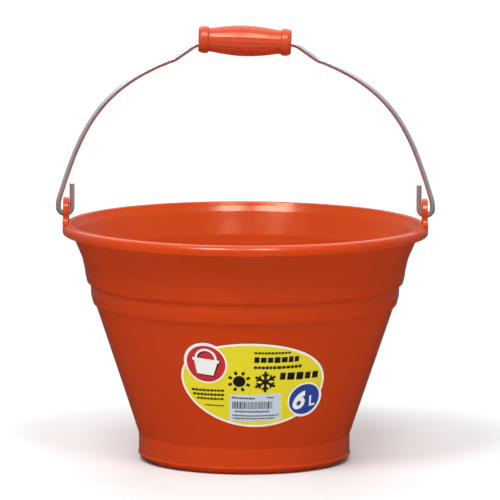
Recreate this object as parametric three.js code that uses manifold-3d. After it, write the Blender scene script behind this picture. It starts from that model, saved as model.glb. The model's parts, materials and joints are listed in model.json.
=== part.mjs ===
// A six-litre household bucket: a moulded polyethylene bucket with two lugs, an aluminium wire bail
// hooked through the lugs, a loose moulded grip on the bail and a printed label on the front wall.
// Millimetres, +Z up, the bail's hinge axis along X. The origin is on the floor under the bucket's
// centre, and the label looks towards -Y.
import * as THREE from 'three';
import { mergeVertices } from 'three/addons/utils/BufferGeometryUtils.js';
import Module from 'manifold-3d';

// ---- bucket ----
const bucketHeight = 185;
const rimRadius = 142;
const footRadius = 82.3;
const footBandHeight = 20.5;
const footBeadHeight = 6.3;
const footBeadProud = 0.7;
const footBeadEdge = 1.3;
// below the bead the foot tucks in to the ring that it stands on
const footTuck = 5.4;
const wallThickness = 2.1;
const floorUnderside = 10;
const floorThickness = 2.5;
const floorCornerRadius = 5;
// the straight wall is aimed at this point below and inside the rim
const neckInset = 9.5;
const neckDepth = 17;
// belts, each set by how far below the rim it starts, how far and over what height it steps out, and
// the height and lean of the nearly upright face above that step
const lowerBelt = { drop: 65.5, step: 3.2, rise: 5, face: 10.5, lean: 0.1 };
const upperBelt = { drop: 49.4, step: 3, rise: 5, face: 11.5, lean: 0.16 };
// above the belts the wall flares out from flareFoot to the throat under the rim, each given by
// how far it is below and inside the rim
const flareFoot = { drop: 25.8, inset: 15 };
const throat = { drop: 8.4, inset: 7.4 };
// rolled rim, rounded widely outside and tightly inside
const lipWidth = 6.8;
const lipThickness = 2;
const skirtDepth = 8;
const crestRound = 5;
const crestInnerRound = 1.8;

// ---- lugs ----
const eyeRadius = 5;
const eyeHeight = 8.4;
const lugRadius = 11.2;
const lugRootWidth = 29;
const lugThickness = 4.4;
const webThickness = 3.4;
const lugInset = 2.6;
const lugRootDepth = 6;

// ---- bail ----
const wireRadius = 2;
const hookRadius = 5.3;
// the tail runs up this close to the eye's inner face, and the wire lies this far above the bottom of the eye
const tailClearance = 0.3;
const seatClearance = 1.1;
const tailLength = 18.7;
const bailRise = 133.2;
const legBendRadius = 20;
const legBendHeight = 4.7;
const shoulderHeight = 18.5;
const shoulderInset = 2.7;
const shoulderLean = THREE.MathUtils.degToRad(17.7);
const shoulderPull = 45.4;
const crownReach = 24;
const crownDrop = 13.8;
const crownLean = THREE.MathUtils.degToRad(21.5);
const crownPull = 60;
const joggleReach = 19.5;
const joggleDrop = 12.3;
const joggleRadius = 13;
const joggleClearance = 2;

// ---- grip ----
const gripLength = 72;
const gripBeadWidth = 8.2;
const gripBeadRadius = 10.7;
const gripNeckRadius = 9.2;
const gripBellyRadius = 12;
// the wire lies this far below the axis of the loose grip, and clears its bore by this much
const gripLift = 2.3;
const boreClearance = 0.5;

// ---- label ----
const labelAzimuth = THREE.MathUtils.degToRad(4.1);
// the label sits a little above the middle of the plain wall, and keeps this margin above and below
const labelRaise = 2.6;
const labelMargin = 16.55;
const labelHalfWidth = 57.5;
const labelTurn = THREE.MathUtils.degToRad(-3.4);
// each badge is set by its place to the side of the label's centre and by how far inside its edge it lies
const badge = { side: -37.6, inset: 20, radius: 17.8 };
const capacity = { side: 40.9, inset: 19.5, radius: 15 };
const labelThickness = 0.3;
const labelGap = 0.3;

// ---- fineness ----
const bucketSides = 60;
const labelSides = 90;
const wireSides = 10;
const gripSides = 28;

const quarter = Math.PI / 2;
const v2 = (x, y) => new THREE.Vector2(x, y);

function material(color, roughness, metalness) {
  return new THREE.MeshStandardMaterial({ color, roughness, metalness });
}

const bucketOrange = material(0xc7461c, 0.35, 0);
const gripOrange = material(0xcf5432, 0.4, 0);
const aluminium = material(0xb4b4b6, 0.35, 1);
const labelYellow = material(0xe6d700, 0.3, 0);

// Points along a circular arc, both ends included.
function arc(cx, cy, radius, from, to, steps) {
  const points = [];
  for (let i = 0; i <= steps; i += 1) {
    const angle = from + (to - from) * i / steps;
    points.push(v2(cx + radius * Math.cos(angle), cy + radius * Math.sin(angle)));
  }
  return points;
}

// A corner of a bent line, replaced by an arc that is tangent to both of its legs.
function bend(before, corner, after, radius, steps) {
  const inward = before.clone().sub(corner).normalize();
  const outward = after.clone().sub(corner).normalize();
  const half = Math.acos(inward.dot(outward)) / 2;
  const centre = inward.clone().add(outward).normalize().multiplyScalar(radius / Math.sin(half)).add(corner);
  const start = inward.multiplyScalar(radius / Math.tan(half)).add(corner).sub(centre);
  const end = outward.multiplyScalar(radius / Math.tan(half)).add(corner).sub(centre);
  let sweep = end.angle() - start.angle();
  if (sweep > Math.PI) sweep -= 2 * Math.PI;
  if (sweep < -Math.PI) sweep += 2 * Math.PI;
  return arc(centre.x, centre.y, radius, start.angle(), start.angle() + sweep, steps);
}

// ---- joining and cutting ----
const wasm = await Module();
wasm.setup();

function toSolid(geometry) {
  const plain = geometry.index ? geometry.toNonIndexed() : geometry.clone();
  plain.deleteAttribute('normal');
  plain.deleteAttribute('uv');
  const merged = mergeVertices(plain, 1e-4);
  return new wasm.Manifold(new wasm.Mesh({
    numProp: 3,
    vertProperties: new Float32Array(merged.attributes.position.array),
    triVerts: new Uint32Array(merged.index.array),
  }));
}

function toGeometry(solid) {
  const mesh = solid.getMesh();
  const geometry = new THREE.BufferGeometry();
  geometry.setAttribute('position', new THREE.BufferAttribute(mesh.vertProperties, 3));
  geometry.setIndex(new THREE.BufferAttribute(mesh.triVerts, 1));
  return geometry;
}

// A closed profile of (radius, height) points, turned round the Z axis.
function turned(profile, sides) {
  const geometry = new THREE.LatheGeometry([...profile, profile[0].clone()], sides);
  return geometry.rotateX(quarter);
}

// ---- bucket shell ----
const neckRadius = rimRadius - neckInset;
const neckZ = bucketHeight - neckDepth;
const wallSlope = (neckRadius - footRadius) / (neckZ - footBandHeight);
const coneRadius = (z) => footRadius + wallSlope * (z - footBandHeight);
const wallOffset = wallThickness * Math.hypot(1, wallSlope);
const plainWallTop = bucketHeight - lowerBelt.drop;

// The outer wall from the first belt to the throat. Each belt steps out by a rounded lip and then
// stands nearly upright, and above the second one the wall flares out towards the rim.
function beltedWall() {
  let radius = coneRadius(plainWallTop);
  const points = [v2(radius, plainWallTop)];
  for (const belt of [lowerBelt, upperBelt]) {
    const beltFoot = bucketHeight - belt.drop;
    points.push(v2(radius + belt.step * 0.6, beltFoot + belt.rise * 0.3));
    radius += belt.step;
    points.push(v2(radius, beltFoot + belt.rise));
    radius += belt.lean * belt.face;
    points.push(v2(radius, beltFoot + belt.rise + belt.face));
  }
  for (const bend of [flareFoot, throat]) {
    points.push(v2(rimRadius - bend.inset, bucketHeight - bend.drop));
  }
  return points;
}

const wall = beltedWall();
const roofZ = bucketHeight - 3.8;
const crestInner = rimRadius - lipWidth;
const skirtInner = rimRadius - lipThickness;

function shellProfile() {
  const beadRadius = footRadius + footBeadProud;
  const beadZ = footBeadHeight - footBeadEdge;
  const outer = [
    v2(beadRadius - footTuck, 0),
    v2(beadRadius, beadZ),
    v2(footRadius, footBeadHeight),
    v2(footRadius, footBandHeight),
    ...wall,
    v2(crestInner + 0.6, roofZ),
    v2(skirtInner, roofZ),
    v2(skirtInner, bucketHeight - skirtDepth),
    v2(rimRadius, bucketHeight - skirtDepth),
  ];
  const crest = [
    ...arc(rimRadius - crestRound, bucketHeight - crestRound, crestRound, 0, quarter, 4),
    ...arc(
      crestInner + crestInnerRound, bucketHeight - crestInnerRound, crestInnerRound,
      quarter, 2 * quarter, 2,
    ),
  ];
  const inner = [
    v2(crestInner - 0.7, roofZ),
    ...wall.slice().reverse().map((point) => v2(point.x - wallOffset, point.y)),
    ...arc(
      coneRadius(floorUnderside) - wallOffset - floorCornerRadius + 1.2,
      floorUnderside + floorThickness + floorCornerRadius,
      floorCornerRadius, 0, -quarter, 3,
    ),
  ];
  const bottomInner = footRadius - wallThickness;
  const floorTop = v2(0, floorUnderside + floorThickness);
  const base = [
    floorTop, v2(0, floorUnderside), v2(bottomInner, floorUnderside),
    v2(bottomInner, beadZ), v2(beadRadius - footTuck - wallThickness, 0),
  ];
  return [...outer, ...crest, ...inner, ...base];
}

// ---- lugs: a thin web rising from the rim, with a thicker round eye ----
const eyeZ = bucketHeight + eyeHeight;
const lugX = rimRadius - lugInset;

function plateAcrossX(shape, thickness, x) {
  const options = { depth: thickness, bevelEnabled: false, curveSegments: 10 };
  const geometry = new THREE.ExtrudeGeometry(shape, options);
  // shape x becomes Y and shape y becomes Z
  geometry.translate(0, 0, -thickness / 2);
  geometry.rotateX(quarter).rotateZ(quarter);
  return geometry.translate(x, 0, 0);
}

function lug() {
  const web = new THREE.Shape();
  web.moveTo(-lugRootWidth / 2, bucketHeight - lugRootDepth);
  web.lineTo(lugRootWidth / 2, bucketHeight - lugRootDepth);
  web.lineTo(lugRootWidth / 2, bucketHeight - crestRound);
  web.quadraticCurveTo(lugRadius - 0.5, bucketHeight, lugRadius - 1, eyeZ);
  web.lineTo(1 - lugRadius, eyeZ);
  web.quadraticCurveTo(0.5 - lugRadius, bucketHeight, -lugRootWidth / 2, bucketHeight - crestRound);
  const eye = new THREE.Shape();
  eye.absarc(0, eyeZ, lugRadius, 0, 2 * Math.PI);
  return toSolid(plateAcrossX(web, webThickness, lugX)).add(toSolid(plateAcrossX(eye, lugThickness, lugX)));
}

function eyeHole() {
  const hole = new THREE.Shape();
  hole.absarc(0, eyeZ, eyeRadius, 0, 2 * Math.PI);
  return toSolid(plateAcrossX(hole, 3 * lugThickness, lugX));
}

function bucketShell() {
  const bothLugs = lug().subtract(eyeHole());
  const shell = toSolid(turned(shellProfile(), bucketSides));
  return toGeometry(shell.add(bothLugs).add(bothLugs.rotate([0, 0, 180])));
}

// ---- bail: one round wire, hooked up inwards through both eyes ----
const pivotZ = eyeZ - eyeRadius + wireRadius + seatClearance;
const hookX = lugX - lugThickness / 2 - tailClearance - wireRadius + hookRadius;
const barZ = pivotZ + bailRise;
const gripZ = barZ + gripLift;

// The centre line of the right half, from the end of the tail to the middle of the bar.
function halfBail() {
  const hookZ = pivotZ + hookRadius;
  const legX = hookX + hookRadius;
  const gripEnd = gripLength / 2;
  const shoulder = v2(legX - shoulderInset, pivotZ + shoulderHeight);
  const crown = v2(gripEnd + crownReach, barZ - crownDrop);
  // the arch leaves each of its ends along that end's lean, and holds to it for the length of the pull
  const fromShoulder = v2(0, shoulderPull).rotateAround(v2(0, 0), shoulderLean);
  const fromCrown = v2(crownPull, 0).rotateAround(v2(0, 0), -crownLean);
  const arch = new THREE.CubicBezierCurve(
    shoulder,
    shoulder.clone().add(fromShoulder),
    crown.clone().add(fromCrown),
    crown,
  );
  const legCorner = v2(legX, hookZ + legBendHeight);
  const joggleFoot = v2(gripEnd + joggleReach, barZ - joggleDrop);
  const joggleTop = v2(gripEnd + joggleClearance, barZ);
  return [
    v2(hookX - hookRadius, hookZ + tailLength),
    ...arc(hookX, hookZ, hookRadius, 2 * quarter, 4 * quarter, 12),
    ...bend(v2(legX, hookZ), legCorner, shoulder, legBendRadius, 3),
    ...arch.getPoints(14),
    ...bend(crown, joggleFoot, joggleTop, joggleRadius, 2),
    ...bend(joggleFoot, joggleTop, v2(0, barZ), joggleRadius, 4),
  ];
}

// A wire's centre line that is stepped from point to point, however far apart they are.
class WireLine extends THREE.Curve {
  constructor(points) {
    super();
    this.points = points;
  }

  getPoint(t) {
    const place = t * (this.points.length - 1);
    const index = Math.min(Math.floor(place), this.points.length - 2);
    return this.points[index].clone().lerp(this.points[index + 1], place - index);
  }

  getPointAt(t) {
    return this.getPoint(t);
  }

  getTangentAt(t) {
    const place = Math.round(t * (this.points.length - 1));
    const here = this.points[place];
    const before = this.points[Math.max(place - 1, 0)];
    const after = this.points[Math.min(place + 1, this.points.length - 1)];
    const into = here.clone().sub(before).normalize();
    const outOf = after.clone().sub(here).normalize();
    return into.add(outOf).normalize();
  }
}

function bailWire() {
  const right = halfBail();
  const left = right.slice().reverse().map((point) => v2(-point.x, point.y));
  const line = [...right, ...left].map((point) => new THREE.Vector3(point.x, 0, point.y));
  const section = new THREE.Shape();
  section.absarc(0, 0, wireRadius, 0, 2 * Math.PI);
  return new THREE.ExtrudeGeometry(section, {
    steps: line.length - 1,
    curveSegments: wireSides / 2,
    extrudePath: new WireLine(line),
  });
}

// ---- grip: a tube with a bead at each end and a swelling barrel between ----
function gripProfile() {
  const half = gripLength / 2;
  const boreRadius = gripLift + wireRadius + boreClearance;
  const barrelHalf = half - gripBeadWidth - 1;
  const edge = 2;
  const rightEnd = [
    v2(gripNeckRadius, barrelHalf),
    v2(gripNeckRadius, half - gripBeadWidth),
    v2(gripBeadRadius, half - gripBeadWidth + edge),
    ...arc(gripBeadRadius - edge, half - edge, edge, 0, quarter, 2),
    v2(boreRadius, half),
  ];
  const leftEnd = rightEnd.slice().reverse().map((point) => v2(point.x, -point.y));
  const barrel = [];
  for (let i = 1; i < 8; i += 1) {
    const z = barrelHalf * (i / 4 - 1);
    const swell = Math.cos(quarter * z / barrelHalf);
    barrel.push(v2(gripNeckRadius + (gripBellyRadius - gripNeckRadius) * swell, z));
  }
  return [...leftEnd, ...barrel, ...rightEnd];
}

// ---- label: a film cut to an oval with a round badge at two of its corners, wrapped on the cone ----
const taper = Math.atan(wallSlope);
const labelHeight = (footBandHeight + plainWallTop) / 2 + labelRaise;
const labelHalfHeight = (plainWallTop - footBandHeight) / (2 * Math.cos(taper)) - labelMargin;
const labelRadius = coneRadius(labelHeight) + labelGap;
const labelApex = labelRadius / Math.sin(taper);

// A point of the flat label, seen from straight in front of the label once it is wrapped.
function wrapped(u, v) {
  const reach = Math.hypot(u, labelApex + v);
  const azimuth = Math.atan2(u, labelApex + v) / Math.sin(taper);
  return v2(reach * Math.sin(taper) * Math.sin(azimuth), labelHeight + (reach - labelApex) * Math.cos(taper));
}

function ovalPrism(centre, halfWidth, halfHeight, turn) {
  const outline = [];
  const steps = 32;
  for (let i = 0; i < steps; i += 1) {
    const angle = 2 * Math.PI * i / steps;
    const point = v2(halfWidth * Math.cos(angle), halfHeight * Math.sin(angle)).rotateAround(v2(0, 0), turn);
    outline.push(wrapped(point.x + centre[0], point.y + centre[1]));
  }
  const options = { depth: rimRadius, bevelEnabled: false };
  const prism = new THREE.ExtrudeGeometry(new THREE.Shape(outline), options);
  // shape y becomes Z, and the prism reaches out towards -Y
  return toSolid(prism.rotateX(quarter));
}

function label() {
  const cut = ovalPrism([0, 0], labelHalfWidth, labelHalfHeight, labelTurn)
    .add(ovalPrism([badge.side, labelHalfHeight - badge.inset], badge.radius, badge.radius, 0))
    .add(ovalPrism([capacity.side, capacity.inset - labelHalfHeight], capacity.radius, capacity.radius, 0));
  const low = labelHeight - 1.5 * labelHalfHeight;
  const high = labelHeight + 1.5 * labelHalfHeight;
  const film = [];
  for (const [z, gap] of [[low, 0], [low, 1], [high, 1], [high, 0]]) {
    film.push(v2(coneRadius(z) + labelGap + gap * labelThickness, z));
  }
  const solid = toSolid(turned(film, labelSides)).intersect(cut);
  return toGeometry(solid).rotateZ(labelAzimuth);
}

// ---- assembly ----
const group = new THREE.Group();

function addPiece(name, geometry, finish) {
  const mesh = new THREE.Mesh(geometry, finish);
  mesh.name = name;
  group.add(mesh);
  return mesh;
}

addPiece('bucket_shell', bucketShell(), bucketOrange);
addPiece('label', label(), labelYellow);
addPiece('bail_wire', bailWire(), aluminium);
const grip = addPiece('grip', turned(gripProfile(), gripSides), gripOrange);
grip.rotation.y = quarter;
grip.position.z = gripZ;

export default group;
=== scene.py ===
"""A six-litre household bucket: a moulded polyethylene bucket with two belts, a rolled rim and two lugs,
an aluminium wire bail, a loose moulded grip and a printed label.

The sizes are in metres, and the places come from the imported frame. The bucket's outline and the label's
artwork are laid out in millimetres.
"""

import json
import math
import random

import bmesh
import bpy
from bpy.props import FloatProperty, FloatVectorProperty, IntProperty, PointerProperty
from bpy.types import Operator, Panel, PropertyGroup
from mathutils import Matrix, Vector
from mathutils.geometry import delaunay_2d_cdt, interpolate_bezier


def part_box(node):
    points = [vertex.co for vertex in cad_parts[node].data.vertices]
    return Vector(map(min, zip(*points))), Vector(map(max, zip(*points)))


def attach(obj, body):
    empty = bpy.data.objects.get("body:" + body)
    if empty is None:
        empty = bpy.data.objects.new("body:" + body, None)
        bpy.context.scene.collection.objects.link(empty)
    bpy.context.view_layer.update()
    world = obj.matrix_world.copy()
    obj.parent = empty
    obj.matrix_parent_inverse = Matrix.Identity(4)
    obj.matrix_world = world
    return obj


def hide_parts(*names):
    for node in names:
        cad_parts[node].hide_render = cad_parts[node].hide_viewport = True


bl_info = {
    "name": "Household Bucket",
    "version": (1, 0, 0),
    "blender": (4, 5, 0),
    "location": "3D View > Sidebar > Bucket",
    "description": "Builds a moulded bucket with a wire bail, a loose grip and a printed label",
    "category": "Object",
}

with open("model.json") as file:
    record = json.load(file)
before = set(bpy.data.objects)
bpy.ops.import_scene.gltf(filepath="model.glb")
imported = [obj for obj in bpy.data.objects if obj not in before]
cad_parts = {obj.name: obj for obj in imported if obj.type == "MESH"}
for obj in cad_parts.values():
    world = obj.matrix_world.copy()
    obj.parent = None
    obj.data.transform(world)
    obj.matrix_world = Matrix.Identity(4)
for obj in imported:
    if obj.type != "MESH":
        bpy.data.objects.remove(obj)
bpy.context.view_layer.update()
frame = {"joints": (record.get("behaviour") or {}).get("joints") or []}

MM = 0.001
ARC_STEP = math.radians(9)
MERGE_DISTANCE = 2e-6
LIGHT_AIM_HEIGHT = 0.17
SHELL_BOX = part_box("bucket_shell")
WIRE_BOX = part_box("bail_wire")
GRIP_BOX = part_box("grip")
PIVOT_HEIGHT = next(j["pos_m"][2] for j in frame["joints"] if j["name"] == "bail_swing")
GRIP_HEIGHT = next(j["pos_m"][2] for j in frame["joints"] if j["name"] == "grip_spin")


def linear(hex_colour):
    """A colour written as sRGB hex, as the linear RGBA that shaders take."""
    shares = [int(hex_colour[i:i + 2], 16) / 255 for i in (1, 3, 5)]
    return [s / 12.92 if s <= 0.04045 else ((s + 0.055) / 1.055) ** 2.4 for s in shares] + [1.0]


def length(name, description, default):
    """A length that a user can change, in metres."""
    return FloatProperty(name=name, description=description, default=default, unit="LENGTH", precision=5)


def colour(name, description, default):
    """A colour that a user can change, from an sRGB hex value."""
    return FloatVectorProperty(
        name=name, description=description, default=linear(default), subtype="COLOR", size=4, min=0, max=1
    )


# ---------------------------------------------------------------- sizes and colours

class BucketSizes(PropertyGroup):
    """The moulded bucket."""

    height: length("Height", "From the floor to the top of the rim", 0.185)
    rim_radius: length("Rim radius", "To the outside of the rolled rim", SHELL_BOX[1].y)
    foot_radius: length("Foot radius", "To the outside of the foot band", 0.0823)
    foot_band: length("Foot band", "Height of the upright band at the foot", 0.0205)
    wall: length("Wall", "Thickness of the moulded wall", 0.0021)
    floor_underside: length("Floor height", "From the ground to the underside of the floor", 0.010)
    lower_belt: length("Lower belt", "Height at which the lower belt steps out", 0.1205)
    upper_belt: length("Upper belt", "Height at which the upper belt steps out", 0.1374)
    sides: IntProperty(name="Sides", description="Number of sides round the bucket", default=240, min=12)
    plastic: colour("Plastic", "Colour of the polyethylene", "#C53D0D")
    mottle: colour("Mottle", "Second tone of the polyethylene", "#BE390B")
    # painted light: a more orange colour for the inside of the wall, standing in for light that comes
    # through it
    painted_through_light: colour("Inside plastic", "Colour of the wall seen from inside", "#CB460C")


class LugSizes(PropertyGroup):
    """The two lugs that the bail hooks through."""

    eye_radius: length("Eye radius", "Radius of the hole", 0.005)
    eye_height: length("Eye height", "From the top of the rim to the middle of the hole", 0.0084)
    head_radius: length("Head radius", "Radius of the round head", 0.0112)
    root_width: length("Root width", "Width of the web where it meets the rim", 0.029)
    head_thickness: length("Head thickness", "Thickness of the round head", 0.0044)
    web_thickness: length("Web thickness", "Thickness of the web below it", 0.0034)
    inset: length("Inset", "From the outside of the rim to the middle of the plate", 0.0026)


class BailSizes(PropertyGroup):
    """The bent wire."""

    wire_radius: length("Wire radius", "Radius of the round wire", 0.002)
    hook_radius: length("Hook radius", "Radius of the bend that hangs in the eye", 0.0053)
    tail_length: length("Tail length", "Straight end above the hook", 0.0187)
    sides: IntProperty(name="Sides", description="Number of sides round the wire", default=24, min=6)
    metal: colour("Metal", "Colour of the drawn aluminium", "#E8E9EC")


class GripSizes(PropertyGroup):
    """The moulded sleeve that turns on the bail."""

    bead_radius: length("Bead radius", "Radius of the bead at each end", 0.0107)
    bead_width: length("Bead width", "Width of the bead at each end", 0.0082)
    neck_radius: length("Neck radius", "Radius of the barrel beside the beads", 0.0092)
    belly_radius: length("Belly radius", "Radius of the barrel in the middle", 0.012)
    bore_radius: length("Bore radius", "Radius of the hole for the wire", 0.0056)
    slide: length("Slide", "How far the loose grip has slid along the wire", -0.0011)
    droop: FloatProperty(
        name="Droop", description="How far the loose grip hangs down at its right end",
        default=math.radians(1.7), subtype="ANGLE", unit="ROTATION",
    )
    flutes: IntProperty(name="Flutes", description="Number of shallow flutes", default=20, min=1)
    flute_depth: length("Flute depth", "Depth of each flute", 0.00022)
    sides: IntProperty(name="Sides", description="Number of sides round the grip", default=192, min=12)
    plastic: colour("Plastic", "Colour of the polyethylene", "#C24424")
    mottle: colour("Mottle", "Second tone of the polyethylene", "#BA3F20")


class LabelSizes(PropertyGroup):
    """The printed film on the front of the wall."""

    azimuth: FloatProperty(
        name="Azimuth", description="How far the label sits to the right of the front",
        default=math.radians(4.1), subtype="ANGLE", unit="ROTATION",
    )
    height: length("Height", "From the ground to the middle of the label", 0.0726)
    half_width: length("Half width", "Half of the oval's width", 0.0575)
    half_height: length("Half height", "Half of the oval's height", 0.0357)
    gap: length("Gap", "From the wall to the back of the film", 0.00006)
    film: length("Film", "Thickness of the film", 0.0002)
    white: colour("White", "The film's own white", "#F3F3EE")
    yellow: colour("Yellow", "Yellow ink", "#E9DA04")
    red: colour("Red", "Red ink", "#CC1A26")
    blue: colour("Blue", "Blue ink", "#16409E")
    black: colour("Black", "Black ink", "#17171A")
    panel: colour("Panel", "Pale blue-grey ink", "#C9D6E6")


class StageSettings(PropertyGroup):
    """Floor, lights and camera."""

    floor: colour("Floor", "Colour of the floor", "#E6E6E6")
    camera_distance: length("Camera distance", "From the bucket's axis to the camera", 4.5)
    camera_height: length("Camera height", "From the ground to the camera", 0.7577)
    aim_side: length("Aim to the side", "How far right of the axis the camera points", 0.0037)
    aim_height: length("Aim height", "Height of the point that the camera looks at", 0.1637)
    focal_length: FloatProperty(name="Focal length", description="In millimetres", default=420.1)
    roll: FloatProperty(
        name="Roll", description="Turn of the camera about its own axis",
        default=math.radians(0.3), subtype="ANGLE", unit="ROTATION",
    )
    key_power: FloatProperty(
        name="Light power", description="Power of the left soft box", default=23, unit="POWER",
    )
    right_share: FloatProperty(
        name="Right share", description="Power of the right soft box, as a share of the left one's",
        default=0.72,
    )
    top_power: FloatProperty(
        name="Top power", description="Power of the soft box overhead", default=8, unit="POWER",
    )
    sheen_power: FloatProperty(
        name="Sheen power", description="Power of the panel that only shows in the gloss", default=27,
        unit="POWER",
    )
    sweep_power: FloatProperty(
        name="Sweep power", description="Power of the lamp over the floor behind", default=70, unit="POWER",
    )
    sky: FloatProperty(name="Sky", description="Strength of the even light all round", default=0.42)


# ---------------------------------------------------------------- outlines

def arc(centre, radius, start, end, step=ARC_STEP):
    """Points along a circular arc, both ends included. The angles are in radians."""
    count = max(2, math.ceil(abs(end - start) / step))
    angles = [start + (end - start) * i / count for i in range(count + 1)]
    return [(centre[0] + radius * math.cos(a), centre[1] + radius * math.sin(a)) for a in angles]


def rounded(corners, step=ARC_STEP):
    """A line through corners (x, y, rounding), with each corner that has a rounding replaced by an arc."""
    points = []
    for i, (x, y, rounding) in enumerate(corners):
        if not rounding or i in (0, len(corners) - 1):
            points.append((x, y))
            continue
        corner = Vector((x, y))
        inward = (Vector(corners[i - 1][:2]) - corner).normalized()
        outward = (Vector(corners[i + 1][:2]) - corner).normalized()
        half = inward.angle(outward) / 2
        centre = corner + (inward + outward).normalized() * rounding / math.sin(half)
        start = corner + inward * rounding / math.tan(half) - centre
        end = corner + outward * rounding / math.tan(half) - centre
        begin = math.atan2(start.y, start.x)
        sweep = math.remainder(math.atan2(end.y, end.x) - begin, 2 * math.pi)
        points += arc(centre, rounding, begin, begin + sweep, step)
    return points


def divided(points, longest, hold=0.6):
    """The same line with its long stretches divided, and with a point held close to each of their ends."""
    dense = [points[0]]
    for a, b in zip(points, points[1:]):
        span = math.dist(a, b)
        if span > 3 * hold:
            count = math.ceil((span - 2 * hold) / longest)
            shares = [hold / span + (1 - 2 * hold / span) * i / count for i in range(count + 1)]
            dense += [(a[0] + (b[0] - a[0]) * s, a[1] + (b[1] - a[1]) * s) for s in shares]
        dense.append(b)
    return dense


# ---------------------------------------------------------------- meshes

def new_object(name, mesh):
    """An object for a mesh, linked to the scene."""
    piece = bpy.data.objects.new(name, mesh)
    bpy.context.scene.collection.objects.link(piece)
    return piece


def line_object(name, points, weights, weight_name):
    """A chain of edges through points in metres, with a weight on each, as a modifier's starting shape."""
    mesh = bpy.data.meshes.new(name)
    mesh.from_pydata(points, [(i, i + 1) for i in range(len(points) - 1)], [])
    weight = mesh.attributes.new(weight_name, "FLOAT", "POINT")
    weight.data.foreach_set("value", weights)
    return new_object(name, mesh)


def cleaned(mesh):
    """Merges doubles, turns the faces outwards and makes them smooth."""
    shape = bmesh.new()
    shape.from_mesh(mesh)
    bmesh.ops.remove_doubles(shape, verts=shape.verts, dist=MERGE_DISTANCE)
    bmesh.ops.dissolve_degenerate(shape, edges=shape.edges, dist=1e-7)
    bmesh.ops.recalc_face_normals(shape, faces=shape.faces)
    for face in shape.faces:
        face.smooth = True
    shape.to_mesh(mesh)
    shape.free()
    return mesh


def evaluated_mesh(piece):
    """What a piece's modifiers make of it, as a plain mesh."""
    graph = bpy.context.evaluated_depsgraph_get()
    return bpy.data.meshes.new_from_object(piece.evaluated_get(graph))


def run_tree(name, starter, tree, values):
    """Runs a geometry tree on a starting shape, and returns the result as a plain object."""
    modifier = starter.modifiers.new(tree.name, "NODES")
    modifier.node_group = tree
    for item in tree.interface.items_tree:
        if item.item_type == "SOCKET" and item.name in values:
            modifier[item.identifier] = values[item.name]
    mesh = cleaned(evaluated_mesh(starter))
    bpy.data.objects.remove(starter)
    return new_object(name, mesh)


def join_solid(piece, other):
    """Joins another solid to a piece, exactly."""
    modifier = piece.modifiers.new("join", "BOOLEAN")
    modifier.operation = "UNION"
    modifier.solver = "EXACT"
    modifier.object = other
    mesh = evaluated_mesh(piece)
    piece.modifiers.remove(modifier)
    piece.data = mesh
    bpy.data.objects.remove(other)


def keep_edges_crisp(piece, degrees=35):
    """Marks the edges that are sharper than an angle, so that smooth shading stops at them."""
    shape = bmesh.new()
    shape.from_mesh(piece.data)
    for edge in shape.edges:
        edge.smooth = len(edge.link_faces) == 2 and edge.calc_face_angle(0) < math.radians(degrees)
    shape.to_mesh(piece.data)
    shape.free()


# ---------------------------------------------------------------- node trees

def add(tree, kind, inputs=None, **settings):
    """Adds a node with its settings, and sets or links its inputs, which are given by name or number."""
    node = tree.nodes.new(kind)
    for setting, value in settings.items():
        setattr(node, setting, value)
    for key, value in (inputs or {}).items():
        if isinstance(value, bpy.types.NodeSocket):
            tree.links.new(value, node.inputs[key])
        else:
            node.inputs[key].default_value = value
    return node


def new_geometry_tree(name, inputs):
    """A geometry tree with a Geometry input, the named inputs and a Geometry output."""
    tree = bpy.data.node_groups.new(name, "GeometryNodeTree")
    tree.interface.new_socket("Geometry", in_out="INPUT", socket_type="NodeSocketGeometry")
    for label, kind in inputs:
        tree.interface.new_socket(label, in_out="INPUT", socket_type="NodeSocket" + kind)
    tree.interface.new_socket("Geometry", in_out="OUTPUT", socket_type="NodeSocketGeometry")
    return tree, tree.nodes.new("NodeGroupInput").outputs


def finish_tree(tree, mesh, material):
    """Ends a tree with real geometry that is smooth and has its material."""
    smooth = add(tree, "GeometryNodeSetShadeSmooth", {"Geometry": mesh})
    real = add(tree, "GeometryNodeRealizeInstances", {"Geometry": smooth.outputs[0]})
    painted = add(tree, "GeometryNodeSetMaterial", {"Geometry": real.outputs[0], "Material": material})
    add(tree, "NodeGroupOutput", {"Geometry": painted.outputs[0]})
    return tree


def calc(tree, operation, first, second=None):
    """The result of a maths node."""
    values = {0: first} if second is None else {0: first, 1: second}
    return add(tree, "ShaderNodeMath", values, operation=operation).outputs[0]


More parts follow.
